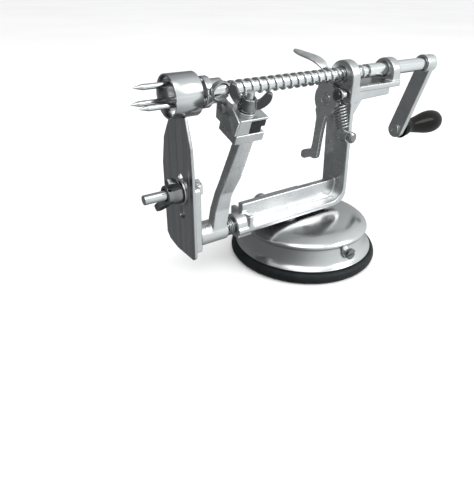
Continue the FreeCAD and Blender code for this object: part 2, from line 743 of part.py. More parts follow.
def blade_head():
    """Black liner, cast clamp, peeling blade, and the stud, washer and wing nut on top."""
    top = number("clamp_height")
    clamp = on_the_seat(side_profile([
        ("seat_front - 0.4", 0.1), ("seat_front + 0.6", "clamp_height"), ("seat_rear", "clamp_height"),
        ("seat_rear", "clamp_height - roof_thick"), ("liner_front", "clamp_height - roof_thick"),
        ("liner_front", 0.1)], "seat_half"))
    keep("blade_clamp", cut(clamp, head_rod(0, -2, 2.1, 14, HEAD_X)))
    liner = on_the_seat(side_profile([
        ("liner_front + 0.1", 0.1), ("liner_front + 0.1", "clamp_height - roof_thick - 0.1"),
        ("seat_rear - 0.5", "clamp_height - roof_thick - 0.1"), ("seat_rear - 0.5", 3),
        ("seat_rear - 2.5", 3), ("seat_rear - 2.5", 0.1)], "seat_half - 0.6"))
    keep("clamp_pad", cut(liner, head_rod(0, -2, 2.1, 14, HEAD_X)))
    keep("clamp_bolt", head_rod(0, 0.1 - number("seat_thick"), 2, 22.5, HEAD_X))
    washer = head_rod(0, top + 0.05, 4.6, 0.9, HEAD_X)
    keep("clamp_washer", cut(washer, head_rod(0, top - 1, 2.1, 4, HEAD_X)))
    keep("peeler_blade", peeler_blade())


def peeler_blade():
    """Steel strip against the clamp's front wall, with its far end curled into a ring."""
    ring_above = 13.0
    ring_start = 9.1
    ring_width = 2.6
    ring_x = "seat_front - 1"
    strip = on_the_seat(cross_profile([
        ("0 - seat_half", 0.5), ("0 - seat_half", "clamp_height - 0.4"), (1.7, 11.4), (8.4, 11.4),
        (ring_start, 9.4), (ring_start + ring_width, 9.4), (ring_start + ring_width, 7), (9, 0.5)],
        0, "blade_sheet"), "seat_front - 0.5 - blade_sheet", 7)
    curl = seat_tube(ring_x, ring_start, ring_above, "blade_ring", ring_width)
    room = (ring_x, ring_start - 2, ring_above, "blade_ring - blade_sheet", ring_width + 4)
    return fuse(cut(strip, seat_tube(*room)), cut(curl, seat_tube(*room)))


def seat_tube(at_x, along, above, radius, length):
    """Cylinder that runs along the seat from one point of it."""
    across, height = on_seat(along, above)
    tilt = FreeCAD.Rotation(Vector(1, 0, 0), number("seat_tilt"))
    tube = cylinder((at_x, across, height), radius, length, "Y")
    return place(tube, (at_x, across, height), tilt.multiply(AXES["Y"]))


# ---------------------------------------------------------------- slicer and corer
def slicer():
    """Slotted sheet with stiffened edges, the coring ring and the parts that clamp it."""
    reach = "shaft_height - ring_radius + 1.2"
    sheet_body = cross_profile([
        ("0 - sheet_near + 2", "sheet_bottom"), ("sheet_far - 11", "sheet_bottom"),
        ("sheet_far - 3", "sheet_bottom + 2"), ("sheet_far", "sheet_bottom + 5"),
        ("sheet_far", 70), ("sheet_far - 3", 84), (7, reach),
        (-7, reach), ("0 - sheet_near + 1", 84), ("0 - sheet_near", 70),
        ("0 - sheet_near", "sheet_bottom + 2")], "sheet_front", "sheet_thick")
    ribs = [box(("sheet_front - 0.4", side, "sheet_bottom + 10"), (0.8, 2.2, 44))
            for side in ("3.2 - sheet_near", "sheet_far - 5.4")]
    slot = fuse(
        box(("sheet_front - 2", "-bolt_radius - 0.3", 47), (6, "2 * bolt_radius + 0.6", 19)),
        cylinder(("sheet_front - 2", 0, 47), "bolt_radius + 0.3", 6),
        cylinder(("sheet_front - 2", 0, 66), "bolt_radius + 0.3", 6))
    bore = cylinder(("sheet_front - 3", 0, "shaft_height"), "ring_radius", 8)
    keep("slicer_plate", cut(fuse(sheet_body, *ribs), slot, bore))
    ring = cylinder(("sheet_front - 5", 0, "shaft_height"), "ring_radius", 14)
    hollow = cylinder(("sheet_front - 6", 0, "shaft_height"), "ring_radius - ring_wall", 16)
    keep("corer_ring", cut(ring, hollow))
    keep("slicer_bolt", fuse(
        hexagon(("post_rear + 0.1", 0, "slicer_bolt_height"), 4.7, 4),
        cylinder(("sheet_front - 20.6", 0, "slicer_bolt_height"), "bolt_radius",
                 "post_rear - sheet_front + 21")))
    washer = cylinder(("sheet_front - 1.2", 0, "slicer_bolt_height"), 7, 1.2)
    eye = cylinder(("sheet_front - 3", 0, "slicer_bolt_height"), "bolt_radius + 0.2", 4)
    keep("slicer_washer", cut(washer, eye))


def wing_nut_shape(bore, scale):
    """Wing nut about +Z: tapered hub and two raised wings with rounded tips."""
    hub = Part.makeCone(5.4 * scale, 4.2 * scale, 7 * scale)
    wings = []
    for side in (1, -1):
        corners = [Vector(2 * side, 0, 0.6), Vector(6.5 * side, 0, 1.6), Vector(11.5 * side, 0, 7.2),
                   Vector(11.8 * side, 0, 11), Vector(10 * side, 0, 13), Vector(7.4 * side, 0, 12),
                   Vector(4.6 * side, 0, 6.6), Vector(2 * side, 0, 6)]
        corners = [corner * scale for corner in corners]
        face = Part.Face(Part.makePolygon(corners + corners[:1]))
        thick = 2.4 * scale
        face.translate(Vector(0, -thick / 2, 0))
        wings.append(face.extrude(Vector(0, thick, 0)))
    nut = hub.multiFuse(wings)
    return nut.cut(Part.makeCylinder(bore, 30, Vector(0, 0, -5)))


def wing_nuts():
    """The two wing nuts, each turned about its own bolt."""
    nut = doc.addObject("Part::Feature", "Nut")
    nut.Shape = wing_nut_shape(number("bolt_radius") + 0.08, 1.1)
    spin = FreeCAD.Rotation(Vector(0, 0, 1), -38)
    nut.Placement = FreeCAD.Placement(
        Vector(number("sheet_front") - 1.4, 0, number("slicer_bolt_height")),
        FreeCAD.Rotation(Vector(0, 1, 0), -90).multiply(spin))
    keep("slicer_wing_nut", nut)
    across, height = on_seat(0, number("clamp_height") + 1.2)
    nut = doc.addObject("Part::Feature", "Nut")
    nut.Shape = wing_nut_shape(2.08, 0.82)
    spin = FreeCAD.Rotation(Vector(0, 0, 1), -40)
    nut.Placement = FreeCAD.Placement(
        Vector(HEAD_X, across, height),
        FreeCAD.Rotation(Vector(1, 0, 0), number("seat_tilt")).multiply(spin))
    keep("clamp_wing_nut", nut)


for make in (frame_casting, base_cover, suction_cup, base_screws, suction_gear, threaded_shaft, fork,
             crank, crank_washer, release_lever, lever_pivot, lever_spring, peeler_arm, arm_spring,
             blade_head, slicer, wing_nuts):
    make()
doc.recompute()

# ---------------------------------------------------------------- checks and export
for thing in doc.Objects:
    if "Invalid" in thing.State or "Error" in thing.State:
        raise RuntimeError(f"{thing.Label} ({thing.TypeId}) did not compute: {thing.State}")
os.makedirs("parts", exist_ok=True)
for node, thing in PARTS.items():
    shape = thing.Shape
    if shape.isNull() or not shape.isValid() or not shape.Solids:
        raise RuntimeError(f"{node} has no valid solid")
    shape.exportStep(f"parts/{node}.step")
    room = shape.BoundBox
    print(f"{node:18s} solids {len(shape.Solids)} volume {shape.Volume:9.1f} "
          f"x {room.XMin:7.1f} {room.XMax:7.1f} y {room.YMin:7.1f} {room.YMax:7.1f} "
          f"z {room.ZMin:7.1f} {room.ZMax:7.1f}")
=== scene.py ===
"""Looks of a hand-cranked apple peeler, corer and slicer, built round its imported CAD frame.

Metres, in the CAD's own frame: +Z up, +X towards the crank, -Y towards the camera's side.
Shapes are written in millimetres and scaled as their meshes are made.
"""

import json
import math

import bmesh
import bpy
from mathutils import Matrix, Vector


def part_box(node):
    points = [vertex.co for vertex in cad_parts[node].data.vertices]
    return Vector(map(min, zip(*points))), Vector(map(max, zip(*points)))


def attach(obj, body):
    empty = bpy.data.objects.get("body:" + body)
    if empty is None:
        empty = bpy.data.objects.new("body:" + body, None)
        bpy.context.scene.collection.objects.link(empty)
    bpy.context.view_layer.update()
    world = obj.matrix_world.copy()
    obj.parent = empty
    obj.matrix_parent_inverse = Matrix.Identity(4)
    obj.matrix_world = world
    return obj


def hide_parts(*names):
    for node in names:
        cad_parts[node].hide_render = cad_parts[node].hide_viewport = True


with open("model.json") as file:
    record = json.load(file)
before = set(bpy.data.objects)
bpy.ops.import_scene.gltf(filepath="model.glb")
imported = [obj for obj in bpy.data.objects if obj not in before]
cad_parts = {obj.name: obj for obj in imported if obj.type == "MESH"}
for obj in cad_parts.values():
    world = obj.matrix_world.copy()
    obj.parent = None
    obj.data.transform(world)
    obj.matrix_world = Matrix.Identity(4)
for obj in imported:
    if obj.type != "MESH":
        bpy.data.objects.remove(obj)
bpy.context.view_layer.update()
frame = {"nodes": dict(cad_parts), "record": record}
NODES = frame["nodes"]
MM = 0.001
BODY_OF = {node: body for body, nodes in frame["record"]["behaviour"]["bodies"].items() for node in nodes}


# ------------------------------------------------------------------------- materials
class Finish:
    """One procedural material; every pattern is in object space, in metres."""

    def __init__(self, name, colour, **sockets):
        self.material = bpy.data.materials.new(name)
        self.material.use_nodes = True
        self.tree = self.material.node_tree
        self.surface = self.tree.nodes["Principled BSDF"]
        self.surface.inputs["Base Color"].default_value = (*colour, 1)
        for socket, value in sockets.items():
            self.surface.inputs[socket.replace("_", " ")].default_value = value
        self.place = self.add("ShaderNodeTexCoord").outputs["Object"]
        self.normal = None

    def add(self, kind, **settings):
        node = self.tree.nodes.new(kind)
        for key, value in settings.items():
            setattr(node, key, value)
        return node

    def link(self, start, end):
        self.tree.links.new(start, end)

    def noise(self, scale, stretch=(1, 1, 1), detail=3.0, shift=0.0):
        """Noise with features about 1/scale metres across, pulled out along an axis by a small stretch."""
        mapping = self.add("ShaderNodeMapping")
        mapping.inputs["Scale"].default_value = stretch
        mapping.inputs["Location"].default_value = (shift, shift * 0.7, -shift)
        noise = self.add("ShaderNodeTexNoise")
        noise.inputs["Scale"].default_value = scale
        noise.inputs["Detail"].default_value = detail
        self.link(self.place, mapping.inputs["Vector"])
        self.link(mapping.outputs["Vector"], noise.inputs["Vector"])
        return noise.outputs["Fac"]

    def rings(self, scale, detail=4.0):
        """Noise that depends only on the distance from the Z axis: the lines that spinning leaves."""
        flat = self.add("ShaderNodeVectorMath", operation="MULTIPLY")
        flat.inputs[1].default_value = (1, 1, 0)
        length = self.add("ShaderNodeVectorMath", operation="LENGTH")
        noise = self.add("ShaderNodeTexNoise", noise_dimensions="1D")
        noise.inputs["Scale"].default_value = scale
        noise.inputs["Detail"].default_value = detail
        self.link(self.place, flat.inputs[0])
        self.link(flat.outputs["Vector"], length.inputs[0])
        self.link(length.outputs["Value"], noise.inputs["W"])
        return noise.outputs["Fac"]

    def between(self, value, low, high, start=0.3, end=0.7):
        """Map a pattern to a range."""
        node = self.add("ShaderNodeMapRange")
        for socket, number in zip(("From Min", "From Max", "To Min", "To Max"), (start, end, low, high)):
            node.inputs[socket].default_value = number
        self.link(value, node.inputs["Value"])
        return node.outputs["Result"]

    def roughness(self, pattern, low, high):
        self.link(self.between(pattern, low, high), self.surface.inputs["Roughness"])
        return self

    def tint(self, pattern, dark, light, start=0.3, end=0.7):
        """Colour that wanders between two tones."""
        ramp = self.add("ShaderNodeValToRGB")
        ramp.color_ramp.elements[0].position = start
        ramp.color_ramp.elements[1].position = end
        ramp.color_ramp.elements[0].color = (*dark, 1)
        ramp.color_ramp.elements[1].color = (*light, 1)
        self.link(pattern, ramp.inputs["Fac"])
        self.link(ramp.outputs["Color"], self.surface.inputs["Base Color"])
        return self

    def bump(self, pattern, depth, strength=1.0):
        """Relief of a depth in metres, added to any that is there."""
        node = self.add("ShaderNodeBump")
        node.inputs["Distance"].default_value = depth
        node.inputs["Strength"].default_value = strength
        self.link(pattern, node.inputs["Height"])
        if self.normal is not None:
            self.link(self.normal, node.inputs["Normal"])
        self.normal = node.outputs["Normal"]
        self.link(self.normal, self.surface.inputs["Normal"])
        return self

    def spun(self, amount):
        """Highlights stretched across the lines of a surface turned about the Z axis."""
        self.surface.inputs["Anisotropic"].default_value = amount
        tangent = self.add("ShaderNodeTangent", direction_type="RADIAL", axis="Z")
        self.link(tangent.outputs["Tangent"], self.surface.inputs["Tangent"])
        return self


def grey(value, blue=0.0):
    return (value, value + blue * 0.6, value + blue)


def cast_metal(name, tone):
    """Tumbled die casting: soft grain, slow waves and faint handling marks."""
    finish = Finish(name, grey(tone), Metallic=1.0, Roughness=0.3)
    cloudy = finish.noise(70, detail=4)
    finish.tint(cloudy, grey(tone * 0.86, 0.012), grey(tone * 1.06, 0.008))
    finish.roughness(finish.noise(260, detail=5, shift=0.3), 0.24, 0.36)
    finish.bump(finish.noise(95, detail=2), 0.00008, 0.4)
    finish.bump(finish.noise(1500, detail=3), 0.00001, 0.35)
    return finish.material


def plated_metal(name, tone, rough=0.16):
    """Nickel plate: bright, with smudges, fine scratches and a little orange peel."""
    finish = Finish(name, grey(tone), Metallic=1.0, Roughness=rough)
    finish.tint(finish.noise(180, detail=4), grey(tone * 0.88, 0.01), grey(tone * 1.04))
    finish.roughness(finish.noise(420, detail=5), rough * 0.7, rough * 1.6)
    finish.bump(finish.noise(700, detail=2), 0.00002, 0.4)
    finish.bump(finish.noise(5000, stretch=(1, 1, 0.08)), 0.000006, 0.4)
    return finish.material


def brushed_metal(name, tone, along, rough=0.26):
    """Steel sheet brushed along one axis."""
    stretch = tuple(0.02 if letter == along else 1 for letter in "XYZ")
    finish = Finish(name, grey(tone), Metallic=1.0, Roughness=rough)
    lines = finish.noise(2600, stretch=stretch, detail=4)
    broad = finish.noise(420, stretch=stretch, detail=3, shift=0.2)
    finish.tint(broad, grey(tone * 0.78, 0.012), grey(tone * 1.08, 0.006))
    finish.roughness(lines, rough * 0.75, rough * 1.4)
    finish.bump(lines, 0.000016, 0.6)
    return finish.material


def spun_metal(name, tone):
    """Pressed steel dome, polished while it turned."""
    finish = Finish(name, grey(tone), Metallic=1.0, Roughness=0.27)
    rings = finish.rings(1500)
    smudges = finish.noise(60, detail=5, shift=0.2)
    finish.tint(finish.noise(45, detail=3), grey(tone * 0.92, 0.006), grey(tone * 1.03))
    finish.roughness(smudges, 0.17, 0.27)
    finish.bump(rings, 0.000006, 0.5)
    finish.bump(finish.noise(2200, detail=3), 0.000003, 0.5)
    finish.spun(0.25)
    return finish.material


def rubber(name):
    """Moulded rubber with a dull grain and a trace of dust."""
    finish = Finish(name, grey(0.008), Roughness=0.55, Specular_IOR_Level=0.22)
    finish.tint(finish.noise(130, detail=5), (0.003, 0.005, 0.005), (0.010, 0.013, 0.013))
    finish.roughness(finish.noise(600, detail=4), 0.42, 0.62)
    finish.bump(finish.noise(2500, detail=3), 0.00003, 0.5)
    return finish.material


def gloss_handle(name):
    """Black lacquered grip with faint lengthwise grain under a clear coat."""
    finish = Finish(name, grey(0.008), Roughness=0.35, Specular_IOR_Level=0.05, Coat_Weight=0.3,
                    Coat_Roughness=0.09, Coat_IOR=1.38)
    grain = finish.noise(900, stretch=(0.06, 1, 1), detail=5)
    finish.tint(grain, (0.0015, 0.0012, 0.001), (0.006, 0.004, 0.003))
    finish.roughness(grain, 0.28, 0.42)
    finish.bump(grain, 0.00001, 0.4)
    return finish.material


def dull_pad(name):
    """Matte black liner."""
    finish = Finish(name, grey(0.012), Roughness=0.7)
    finish.tint(finish.noise(500, detail=4), grey(0.006), grey(0.018))
    finish.roughness(finish.noise(900, detail=3), 0.6, 0.8)
    finish.bump(finish.noise(1800, detail=3), 0.00003, 0.5)
    return finish.material


MATERIALS = {
    "cast": cast_metal("cast_alloy", 0.60),
    "plated": plated_metal("plated_steel", 0.66),
    "dark_plated": plated_metal("plated_steel_lever", 0.72, 0.3),
    "sheet": brushed_metal("slicer_sheet", 0.52, "Z"),
    "blade": brushed_metal("blade_steel", 0.62, "X", 0.18),
    "dome": spun_metal("dome_steel", 0.60),
    "turned": brushed_metal("turned_steel", 0.72, "X", 0.16),
    "wire": brushed_metal("spring_wire", 0.42, "Z", 0.2),
    "nut": plated_metal("nut_plate", 0.26, 0.16),
    "dark_screw": plated_metal("blackened_screw", 0.20, 0.22),
    "rubber": rubber("suction_rubber"),
    "grip": gloss_handle("grip_lacquer"),
    "pad": dull_pad("clamp_liner"),
}


# ------------------------------------------------------------------------- mesh helpers
def new_object(name, mesh):
    piece = bpy.data.objects.new(name, mesh)
    bpy.context.scene.collection.objects.link(piece)
    return piece


def mesh_of(points, faces, name):
    """Mesh from points in metres."""
    mesh = bpy.data.meshes.new(name)
    mesh.from_pydata(points, [], faces)
    mesh.update()
    return mesh


def shade(mesh, angle=32):
    """Smooth shading, except across edges sharper than the angle."""
    work = bmesh.new()
    work.from_mesh(mesh)
    for face in work.faces:
        face.smooth = True
    limit = math.radians(angle)
    for edge in work.edges:
        edge.smooth = len(edge.link_faces) == 2 and edge.calc_face_angle(0) < limit
    work.to_mesh(mesh)
    work.free()


def welded(node):
    """A CAD node's mesh again, as one closed skin without the split normals it was imported with."""
    work = bmesh.new()
    work.from_mesh(NODES[node].data)
    bmesh.ops.remove_doubles(work, verts=work.verts, dist=2e-6)
    work.verts.ensure_lookup_table()
    points = [corner.co.copy() for corner in work.verts]
    faces = [[corner.index for corner in face.verts] for face in work.faces]
    mesh = mesh_of(points, faces, node)
    work.free()
    return mesh


def applied(piece, *modifiers):
    """Run modifiers on a piece and keep the result as its mesh."""
    for kind, settings in modifiers:
        modifier = piece.modifiers.new(kind.title(), kind)
        for key, value in settings.items():
            setattr(modifier, key, value)
    graph = bpy.context.evaluated_depsgraph_get()
    graph.update()
    mesh = bpy.data.meshes.new_from_object(piece.evaluated_get(graph))
    piece.modifiers.clear()
    piece.data = mesh
    return piece


def softened(piece, voxel, passes):
    """Round every edge a little, as casting or tumbling does."""
    applied(piece,
            ("REMESH", {"mode": "VOXEL", "voxel_size": voxel * MM, "use_smooth_shade": True}),
            ("SMOOTH", {"factor": 0.5, "iterations": passes}))
    shade(piece.data, 60)
    return piece


def bevelled(piece, width, segments=2, angle=32):
    """Round the sharp edges of a clean mesh."""
    work = bmesh.new()
    work.from_mesh(piece.data)
    bmesh.ops.dissolve_limit(work, angle_limit=math.radians(1), verts=work.verts, edges=work.edges)
    sharp = [edge for edge in work.edges
             if len(edge.link_faces) == 2 and edge.calc_face_angle(0) > math.radians(angle)]
    bmesh.ops.bevel(work, geom=sharp, offset=width * MM, segments=segments, profile=0.5,
                    affect="EDGES", clamp_overlap=True)
    bmesh.ops.triangulate(work, faces=[face for face in work.faces if len(face.verts) > 4])
    work.to_mesh(piece.data)
    work.free()
    shade(piece.data, angle)
    return piece


def show(piece, material, node):
    """Give a piece its material and the body of the CAD node that it stands for, and hide that node."""
    piece.data.materials.clear()
    piece.data.materials.append(MATERIALS[material])
    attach(piece, BODY_OF[node])
    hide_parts(node)


def smooth_line(points, steps):
    """Catmull-Rom curve through points, with sharp corners where a point is given twice."""
    line = []
    for index in range(len(points) - 1):
        before = points[max(index - 1, 0)]
        start, end = points[index], points[index + 1]
        after = points[min(index + 2, len(points) - 1)]
        if start == end:
            continue
        for step in range(steps):
            t = step / steps
            line.append(tuple(
                0.5 * (2 * b + (c - a) * t + (2 * a - 5 * b + 4 * c - d) * t * t
                       + (3 * b - a - 3 * c + d) * t ** 3)
                for a, b, c, d in zip(before, start, end, after)))
    line.append(points[-1])
    return line


AXIS_TURNS = {
    "X": Matrix(((0, 0, 1), (1, 0, 0), (0, 1, 0))).to_4x4(),
    "Z": Matrix.Identity(4),
}


def lathe(name, profile, centre, axis="Z", sides=96, steps=5):
    """Turned piece: (radius, height) pairs in millimetres about an axis through centre, in metres."""
    points, faces, rows = [], [], []
    for radius, height in smooth_line(profile, steps):
        if radius < 1e-6:
            rows.append([len(points)])
            points.append((0, 0, height * MM))
            continue
        rows.append(list(range(len(points), len(points) + sides)))
        for side in range(sides):
            turn = 2 * math.pi * side / sides
            points.append((radius * MM * math.cos(turn), radius * MM * math.sin(turn), height * MM))
    for low, high in zip(rows, rows[1:]):
        for side in range(sides):
            following = (side + 1) % sides
            quad = [low[side % len(low)], low[following % len(low)],
                    high[following % len(high)], high[side % len(high)]]
            faces.append(list(dict.fromkeys(quad)))
    mesh = mesh_of(points, [face for face in faces if len(face) > 2], name)
    mesh.transform(Matrix.Translation(Vector(centre)) @ AXIS_TURNS[axis])
    work = bmesh.new()
    work.from_mesh(mesh)
    bmesh.ops.remove_doubles(work, verts=work.verts, dist=1e-7)
    bmesh.ops.recalc_face_normals(work, faces=work.faces)
    work.to_mesh(mesh)
    work.free()
    shade(mesh, 40)
    return new_object(name, mesh)


# ------------------------------------------------------------------------- pieces from the CAD
def middle(node):
    low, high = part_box(node)
    return (low + high) / 2


SOFTENED = {
    # node: (material, voxel in mm, smoothing passes)
    "frame_casting": ("cast", 0.4, 12),
    "peeler_arm": ("cast", 0.35, 12),
    "crank_arm": ("cast", 0.33, 12),
    "blade_clamp": ("cast", 0.25, 6),
    "slicer_plate": ("sheet", 0.26, 4),
}
for node, (material, voxel, passes) in SOFTENED.items():
    show(softened(new_object(node + "_skin", welded(node)), voxel, passes), material, node)

BEVELLED = {
    # node: (material, edge radius in mm)
    "spring_stud": ("dark_screw", 0.15),
    "spring_screw": ("nut", 0.4),
    "slicer_bolt": ("plated", 0.4),
    "slicer_washer": ("plated", 0.25),
    "clamp_bolt": ("plated", 0.3),
    "clamp_washer": ("plated", 0.25),
    "crank_washer": ("plated", 0.25),
    "cam_screw": ("dark_screw", 0.5),
    "suction_lever": ("plated", 0.6),
    "knob_spindle": ("plated", 0.4),
    "fork_hub": ("turned", 0.4),
    "corer_ring": ("blade", 0.1),
    "peeler_blade": ("blade", 0.1),
    "clamp_pad": ("pad", 0.3),
    "half_nut": ("turned", 0.3),
}
for node, (material, width) in BEVELLED.items():
    show(bevelled(new_object(node + "_piece", welded(node)), width), material, node)

PLAIN = {
    "threaded_shaft": "turned",
    "fork_prongs": "turned",
    "arm_pivot_pin": "turned",
    "cam_shaft": "turned",
    "suction_yoke": "turned",
    "lever_spring": "wire",
    "arm_spring": "wire",
    "base_screws": "plated",
    "crank_set_screw": "plated",
}
for node, material in PLAIN.items():
    NODES[node].data.materials.clear()
    NODES[node].data.materials.append(MATERIALS[material])


# ------------------------------------------------------------------------- turned pieces
DOME = [(0, 27.5), (12, 27.35), (18, 27.05), (24, 26.5), (30, 25.4), (34, 24.2), (37, 22.7), (38.8, 21.4),
        (39.4, 20.5), (39.3, 19.6), (38.8, 18.9), (38.6, 18.0), (38.7, 16.0), (39.1, 13.2), (39.8, 10.8),
        (40.9, 8.9), (42.2, 7.8), (42.9, 7.3), (42.95, 6.8), (42.8, 6.35), (42.3, 6.35), (42.0, 6.9),
        (40.9, 7.9), (39.5, 9.8), (38.4, 13), (37.9, 18), (38.3, 20.2), (36.5, 21.7), (33.6, 23.2),
        (29.7, 24.4), (23.8, 25.5), (12, 26.35), (0, 26.5)]
CUP = [(0, 0.3), (12, 0.3), (30, 0.2), (42, 0.0), (44.4, 0.15), (45.6, 1.1), (46.0, 2.6), (45.8, 3.9),
       (45.2, 5.1), (44.2, 6.0), (43.4, 6.2), (42.4, 6.2), (40, 6.1), (38.2, 4.4), (36, 3.0), (20, 3.0),
       (9.2, 3.0), (9, 4.1), (0, 4.2)]
show(lathe("dome_cover", DOME, (0, 0, 0), sides=160), "dome", "base_cover")
show(lathe("suction_ring", CUP, (0, 0, 0), sides=160), "rubber", "suction_cup")

knob_low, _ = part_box("crank_knob")
knob_axis = middle("crank_knob")
KNOB_START = 1.8
KNOB = [(2.6, KNOB_START), (2.6, KNOB_START), (5.4, KNOB_START), (6.1, KNOB_START + 0.6),
        (6.3, 3.4), (6.1, 5.4), (5.4, 7.0), (4.9, 8.4), (4.8, 10.0), (5.0, 12.4), (5.6, 16.4),
        (6.4, 20.8), (7.2, 25.0), (7.85, 29.0), (8.15, 32.2), (8.2, 34.6), (7.9, 37.6),
        (7.2, 40.2), (5.9, 42.4), (4.0, 43.5), (2.0, 43.78), (0, 43.8)]
show(lathe("knob_grip", KNOB, (knob_low.x, knob_axis.y, knob_axis.z), "X", sides=72), "grip", "crank_knob")
ferrule_low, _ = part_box("knob_ferrule")
FERRULE = [(2.6, 0), (2.6, 0), (6.2, 0), (6.9, 0.5), (7.0, 1.2), (6.8, 1.9), (6.1, 2.3),
           (6.1, 2.3), (2.6, 2.3)]
show(lathe("knob_collar", FERRULE, (ferrule_low.x, knob_axis.y, knob_axis.z), "X", sides=64),
     "grip", "knob_ferrule")

RIVET = [(0, 0.12), (1.5, 0.12), (2.0, 0.42), (2.5, 0.42), (2.9, 0.06), (3.5, 0), (3.9, 0.2), (4.0, 0.65),
         (4.0, 0.65), (3.0, 0.65), (3.0, 0.65), (3.0, 12.4), (3.0, 12.4), (0, 12.4)]
rivet_low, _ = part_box("lever_pivot_rivet")
rivet_axis = middle("lever_pivot_rivet")
show(lathe("pivot_rivet", RIVET, (rivet_low.x, rivet_axis.y, rivet_axis.z), "X", sides=64, steps=3),
     "plated", "lever_pivot_rivet")


# ------------------------------------------------------------------------- moulded pieces
def slab(outline, thick, place):
    """Flat closed shell: an outline of (across, up) millimetres, centred on its thickness."""
    count = len(outline)
    points = [place(across, side, up) for side in (-thick / 2, thick / 2) for across, up in outline]
    faces = [list(range(count)), list(range(2 * count - 1, count - 1, -1))]
    for index in range(count):
        following = (index + 1) % count
        faces.append([following, index, index + count, following + count])
    return points, faces


def closed_curve(points, steps=4):
    """Smooth closed outline through points."""
    line = smooth_line([points[-1]] + points + points[:2], steps)
    return line[steps:-steps - 1]


def merged(name, shells):
    """One object from several closed shells, given in millimetres."""
    points, faces = [], []
    for shell_points, shell_faces in shells:
        start = len(points)
        points += [tuple(value * MM for value in point) for point in shell_points]
        faces += [[start + index for index in face] for face in shell_faces]
    mesh = mesh_of(points, faces, name)
    work = bmesh.new()
    work.from_mesh(mesh)
    bmesh.ops.triangulate(work, faces=[face for face in work.faces if len(face.verts) > 4])
    bmesh.ops.recalc_face_normals(work, faces=work.faces)
    work.to_mesh(mesh)
    work.free()
    return new_object(name, mesh)


def turned_shell(profile, sides=48):
    """Closed shell of revolution about Z, from (radius, height) pairs that start and end on the axis."""
    points = [(0, 0, profile[0][1])]
    faces = []
    for radius, height in profile[1:-1]:
        for side in range(sides):
            turn = 2 * math.pi * side / sides
            points.append((radius * math.cos(turn), radius * math.sin(turn), height))
    points.append((0, 0, profile[-1][1]))
    rings = len(profile) - 2
    for side in range(sides):
        following = (side + 1) % sides
        faces.append([0, 1 + following, 1 + side])
        for ring in range(rings - 1):
            low, high = 1 + ring * sides, 1 + (ring + 1) * sides
            faces.append([low + side, low + following, high + following, high + side])
        last = 1 + (rings - 1) * sides
        faces.append([last + side, last + following, len(points) - 1])
    return points, faces


EAR = [(2.0, 1.2), (5.8, 1.2), (8.8, 3.4), (11.2, 6.6), (12.1, 9.8), (11.6, 12.2), (10.0, 12.8),
       (8.2, 11.8), (6.6, 8.8), (5.0, 6.6), (3.4, 6.0), (1.8, 5.6)]
HUB = [(0, 0), (5.3, 0), (5.5, 0.5), (5.2, 2.4), (4.6, 4.6), (4.3, 6.8), (3.9, 7.1), (2.9, 7.1),
       (2.9, 4.0), (0, 4.0)]
EAR_THICK = 2.9


def upright(across, side, up):
    """A slab's own directions, kept as they are."""
    return (across, side, up)


def wing_nut(name, joint_name, base, size, rise, placing):
    """Cast wing nut on a joint's axis; base is the distance in mm along it from the joint's place."""
    shells = [turned_shell([(radius * size, height * size) for radius, height in HUB])]
    for side in (1, -1):
        outline = [(side * across * size, up * size * rise) for across, up in closed_curve(EAR)]
        shells.append(slab(outline, EAR_THICK * size, upright))
    nut = merged(name, shells)
    joints = frame["record"]["behaviour"]["joints"]
    joint = next(item for item in joints if item["name"] == joint_name)
    foot = Vector(joint["pos_m"]) + Vector(joint["axis"]) * base * MM
    nut.data.transform(Matrix.Translation(foot) @ placing)
    return softened(nut, 0.22, 7)


def turn_by(degrees, axis):
    return Matrix.Rotation(math.radians(degrees), 4, axis)


SEAT_TILT = 20
show(wing_nut("clamp_nut_cast", "clamp_nut_turn", 1.2, 0.82, 1.0,
              turn_by(SEAT_TILT, "X") @ turn_by(-40, "Z")), "nut", "clamp_wing_nut")
show(wing_nut("slicer_nut_cast", "slicer_nut_turn", -6.5, 1.1, 0.72,
              turn_by(-90, "Y") @ turn_by(-38, "Z")), "nut", "slicer_wing_nut")

STEM = [(14.6, 92.0), (13.6, 98.0), (12.4, 104.0), (12.0, 107.4), (10.6, 109.4), (8.6, 108.2), (7.4, 104.2),
        (6.6, 100.6), (3.6, 98.9), (-0.4, 98.7), (-4.6, 98.9), (-7.4, 97.6), (-7.4, 95.4), (-5.6, 94.1),
        (-2.4, 93.4), (2.0, 88.0)]
TAIL = [(1.6, 88.0), (5.6, 80.6), (7.6, 70.0), (8.8, 58.4), (9.6, 54.9), (12.0, 54.0), (15.4, 54.0),
        (19.0, 52.3), (21.6, 51.6), (23.6, 52.8), (23.2, 56.2), (20.0, 58.0), (16.0, 59.2),
        (14.4, 62.0), (13.3, 72.0), (12.8, 80.0), (13.4, 86.0)]
PADDLE = [(8.2, 107.2), (11.2, 110.2), (16.2, 112.4), (22.0, 113.5), (28.0, 114.2), (33.0, 115.0),
          (36.3, 115.5)]
LEVER_FRONT = 14.8
LEVER_THICK = 3.0
LEVER_MIDDLE = LEVER_FRONT + LEVER_THICK / 2
DISC_RADIUS = 9.3
DISC_SIDES = 40
PADDLE_SIDES = 20


def on_plate(across, side, up):
    return (LEVER_MIDDLE + side, across, up)


def lever_disc():
    """Outline of the lever's round boss about its pivot."""
    axis = middle("lever_pivot_rivet") / MM
    turns = [turn / DISC_SIDES * math.tau for turn in range(DISC_SIDES)]
    return [(axis.y + DISC_RADIUS * math.cos(turn), axis.z + DISC_RADIUS * math.sin(turn))
            for turn in turns]


